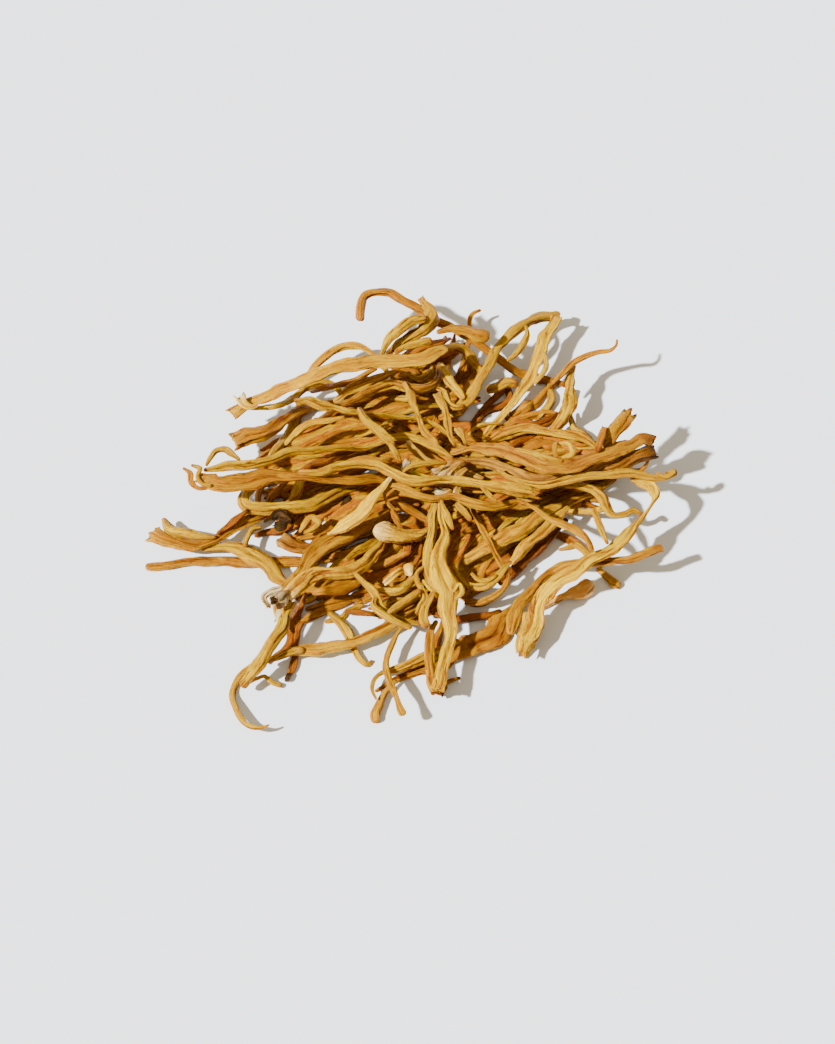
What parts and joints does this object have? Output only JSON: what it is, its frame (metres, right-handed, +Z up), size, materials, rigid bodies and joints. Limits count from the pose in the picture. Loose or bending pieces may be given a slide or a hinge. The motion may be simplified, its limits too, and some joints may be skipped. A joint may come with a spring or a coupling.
{
  "type": "dried cordyceps",
  "caption": "Matted tangle of long, thin, dried golden cordyceps fruiting bodies, lying loose on a surface.",
  "frame": {"origin": "middle of the heap's box, on the surface that it lies on", "axes": "+Z up from the surface, +X to the right and +Y away, as the picture shows the heap"},
  "size_m": [0.148, 0.141, 0.0221],
  "materials": {
    "golden_flesh": "dry, matt to satin, wrinkled lengthwise",
    "deep_orange_flesh": "dry, satin, wrinkled lengthwise",
    "brown_flesh": "dry, matt",
    "pale_cream_flesh": "dry, matt, finely cross-wrinkled",
    "grey_tan_flesh": "dry, papery"
  },
  "bodies": {
    "root": {"front_floor_bundle": "deep_orange_flesh", "forked_tip": "deep_orange_flesh", "front_floor_stalk": "deep_orange_flesh", "far_left_stalk": "deep_orange_flesh", "left_leaf_stalk": "golden_flesh", "left_base_stalk": "golden_flesh", "tail_hook_stalk": "deep_orange_flesh", "low_right_club": "pale_cream_flesh", "small_right_club": "deep_orange_flesh", "shaded_right_stalk": "brown_flesh", "back_shaded_stalk": "brown_flesh", "back_dark_stalk": "brown_flesh", "brown_edge_stalk": "brown_flesh", "right_fan_stalk": "golden_flesh", "cross_stalk": "golden_flesh", "dark_tip_stalk": "brown_flesh", "pale_long_stalk": "golden_flesh", "forked_twig": "deep_orange_flesh", "front_left_stalk": "deep_orange_flesh", "left_ring_stalk": "brown_flesh", "back_hook_stalk": "deep_orange_flesh", "back_arch_stalk": "golden_flesh", "back_ribbon": "golden_flesh", "left_arch": "golden_flesh", "left_hollow_base": "deep_orange_flesh", "left_mid_ribbon": "golden_flesh", "back_left_broad": "golden_flesh", "back_mid_stalk": "golden_flesh", "back_pale_base": "grey_tan_flesh", "back_inner_stalk": "golden_flesh", "back_club_stalk": "deep_orange_flesh", "top_left_ribbon": "golden_flesh", "right_vertical_stalk": "golden_flesh", "right_whip_stalk": "deep_orange_flesh", "right_yellow_stalk": "golden_flesh", "right_short_base": "deep_orange_flesh", "right_dark_base": "brown_flesh", "inner_right_curl": "golden_flesh", "u_bend_stalk": "golden_flesh", "fan_stalk_blunt": "golden_flesh", "fan_stalk_bright": "golden_flesh", "side_ribbon": "golden_flesh", "diagonal_stalk_left": "golden_flesh", "diagonal_stalk_right": "golden_flesh", "thick_pale_stalk": "pale_cream_flesh", "pale_club_base": "pale_cream_flesh", "lower_left_stalk": "golden_flesh", "beside_front_ribbon": "golden_flesh", "front_ribbon": "golden_flesh", "twisted_right_ribbon": "golden_flesh", "thin_diagonal_stalk": "golden_flesh", "knobbly_long_stalk": "golden_flesh", "long_top_stalk": "golden_flesh", "broad_left_ribbon": "deep_orange_flesh", "grey_base_stalk": "grey_tan_flesh", "long_right_stalk": "golden_flesh", "big_right_stalk": "golden_flesh", "long_loop_stalk": "golden_flesh", "pale_leaf": "pale_cream_flesh", "long_middle_stalk": "golden_flesh"}
  },
  "joints": []
}
